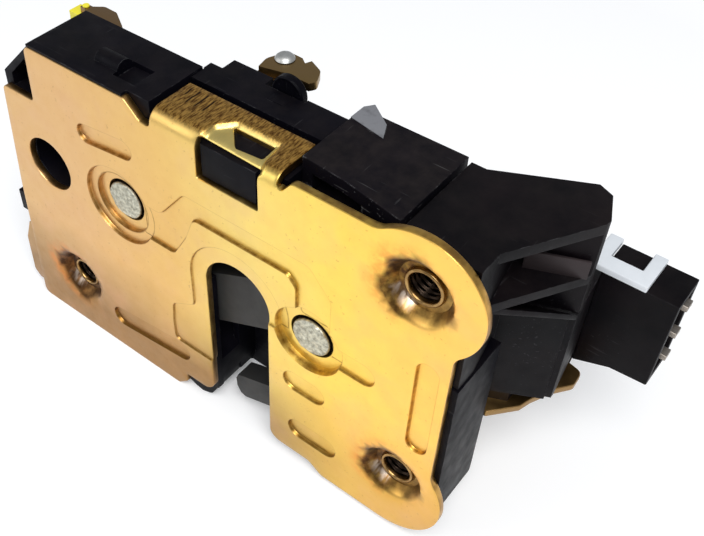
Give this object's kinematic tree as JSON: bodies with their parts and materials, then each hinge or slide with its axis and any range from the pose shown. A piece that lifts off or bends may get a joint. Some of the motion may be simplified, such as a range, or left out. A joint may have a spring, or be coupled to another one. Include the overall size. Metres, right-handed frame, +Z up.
{
  "type": "door latch actuator",
  "caption": "Door latch actuator with a gold zinc-plated face plate, striker slot, black moulded housings, top levers and a side connector with a white clip",
  "frame": {"origin": "Centre of the lower left fixing thread, on the floor of its dimple, 2.4 mm behind the front of the face plate", "axes": "X right along the face plate, Y from the face plate into the latch, Z up along the plate"},
  "size_m": [0.1247, 0.0515, 0.0717],
  "materials": {
    "zinc_yellow": "satin",
    "bare_steel": "satin",
    "hardened_steel": "satin",
    "spring_steel": "satin",
    "black_plastic": "satin",
    "grey_black_plastic": "satin",
    "white_plastic": "satin",
    "yellow_plastic": "satin",
    "natural_plastic": "satin",
    "black_rubber": "matte",
    "terminal_tin": "satin"
  },
  "bodies": {
    "chassis": {"face_plate": "zinc_yellow", "threaded_bushes": "bare_steel", "reinforcement_plate": "zinc_yellow", "latch_housing": "black_plastic", "back_plate": "zinc_yellow", "claw_rivet": "bare_steel", "pawl_rivet": "bare_steel", "claw_spring": "spring_steel", "pawl_spring": "spring_steel", "striker_buffer": "black_rubber", "top_cap": "black_plastic", "microswitch_case": "grey_black_plastic", "lever_carrier": "black_plastic", "release_rivet": "bare_steel", "pivot_arm": "zinc_yellow", "lock_rivet": "bare_steel", "actuator_housing": "black_plastic", "actuator_cover": "black_plastic", "cover_screws": "bare_steel", "lower_bracket": "zinc_yellow", "motor_case": "bare_steel", "contact_carrier": "natural_plastic", "connector_shell": "black_plastic", "connector_lock": "white_plastic", "connector_terminals": "terminal_tin"},
    "claw": {"claw_core": "hardened_steel", "claw_cover": "grey_black_plastic"},
    "pawl_lever": {"pawl": "hardened_steel"},
    "plunger": {"switch_plunger": "natural_plastic"},
    "key_turn": {"key_cam": "grey_black_plastic"},
    "release_arm": {"release_lever": "zinc_yellow"},
    "lock_arm": {"lock_lever": "zinc_yellow", "rod_clip": "yellow_plastic"},
    "worm": {"motor_worm": "natural_plastic"},
    "gear": {"drive_gear": "natural_plastic"},
    "slider": {"lock_slider": "natural_plastic"}
  },
  "joints": [
    {"name": "claw_pivot", "type": "hinge", "parent": "chassis", "child": "claw", "pos_m": [0.0594, 0.0031, 0.0235], "axis": [0, -1, 0], "range_deg": [0, 32], "deforming": ["claw_spring"]},
    {"name": "pawl_pivot", "type": "hinge", "parent": "chassis", "child": "pawl_lever", "pos_m": [0.0173, 0.0031, 0.03], "axis": [0, -1, 0], "range_deg": [0, 10.24], "deforming": ["pawl_spring"]},
    {"name": "plunger_slide", "type": "slide", "parent": "chassis", "child": "plunger", "axis": [1, 0, 0], "range_m": [0, 0.0008]},
    {"name": "key_cam_turn", "type": "hinge", "parent": "chassis", "child": "key_turn", "pos_m": [0.0414, 0.0155, 0.0546], "axis": [0, -1, 0], "range_deg": [-40, 40]},
    {"name": "release_lever_pivot", "type": "hinge", "parent": "chassis", "child": "release_arm", "pos_m": [0.0352, 0.022, 0.054], "axis": [0, 0, 1], "range_deg": [0, 20], "stiffness_Nm_per_rad": 0.02},
    {"name": "lock_lever_pivot", "type": "hinge", "parent": "chassis", "child": "lock_arm", "pos_m": [0.0028, 0.0126, 0.041], "axis": [0, -1, 0], "range_deg": [0, 7.5]},
    {"name": "gear_turn", "type": "hinge", "parent": "chassis", "child": "gear", "pos_m": [0.0742, 0.0362, 0.021], "axis": [0, 0, 1], "range_deg": [0, 75]},
    {"name": "worm_spin", "type": "hinge", "parent": "chassis", "child": "worm", "pos_m": [0.0656, 0.0356, 0.021], "axis": [0, 1, 0], "range_deg": [-1810, 0]},
    {"name": "lock_slide", "type": "slide", "parent": "chassis", "child": "slider", "axis": [-1, 0, 0], "range_m": [0, 0.0052]}
  ],
  "couplings": [
    {"joint": "pawl_pivot", "follows": "claw_pivot", "ratio": 0.32},
    {"joint": "plunger_slide", "follows": "claw_pivot", "m_per_rad": 0.001397},
    {"joint": "lock_lever_pivot", "follows": "gear_turn", "ratio": 0.1},
    {"joint": "worm_spin", "follows": "gear_turn", "ratio": -24},
    {"joint": "lock_slide", "follows": "gear_turn", "m_per_rad": 0.003906}
  ]
}
